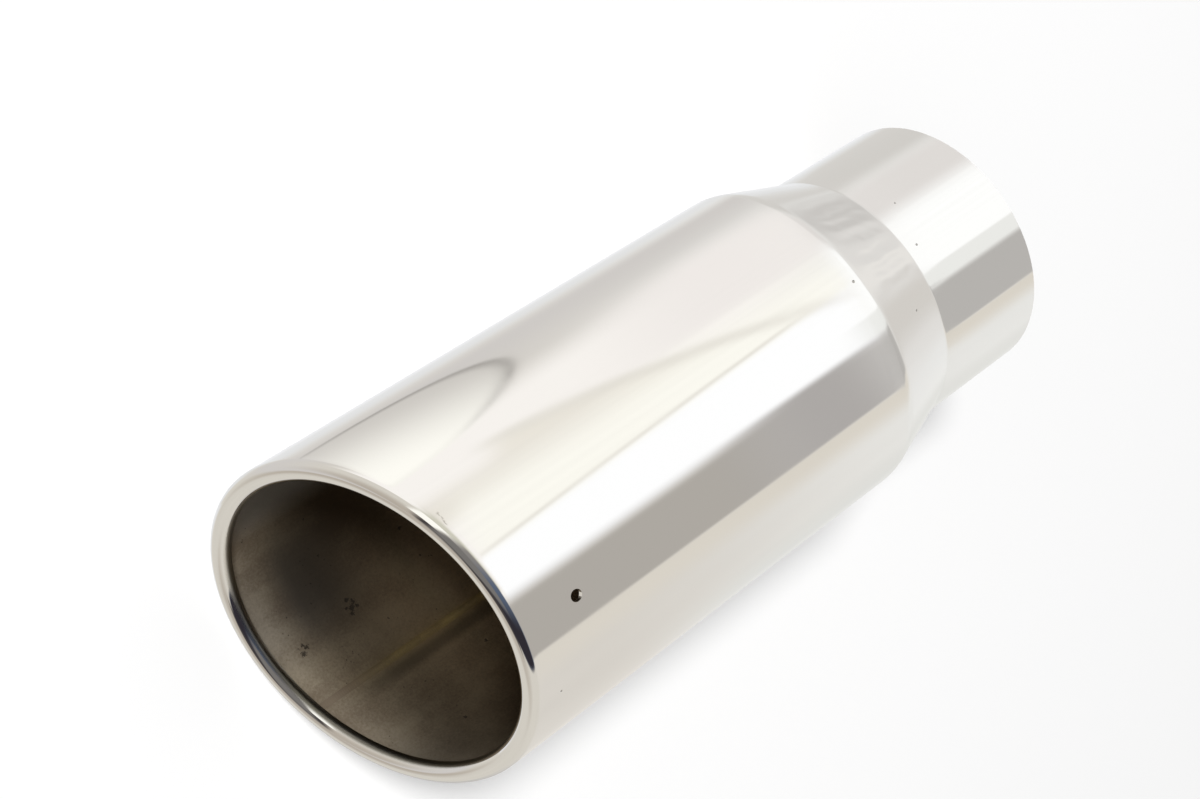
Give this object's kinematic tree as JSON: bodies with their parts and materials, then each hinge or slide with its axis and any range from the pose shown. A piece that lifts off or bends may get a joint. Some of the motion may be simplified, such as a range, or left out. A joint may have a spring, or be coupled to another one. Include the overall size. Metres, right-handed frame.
{
  "type": "exhaust tip",
  "caption": "Polished stainless tube end for a tailpipe, with a slanted mouth rolled inward to a smooth lip and a body necked down to a plain round inlet collar.",
  "frame": {"origin": "centre of the square-cut inlet end, on the tube's axis", "axes": "+Y along the tube's axis out of the inlet, -Y out of the mouth, +Z to the short side of the slanted mouth, +X to the side"},
  "size_m": [0.1272, 0.3044, 0.1272],
  "materials": {
    "polished_stainless": "mirror-polished stainless outside and on the lip, left dull and brown-grey inside"
  },
  "bodies": {
    "root": {"tip_shell": "polished_stainless"}
  },
  "joints": []
}
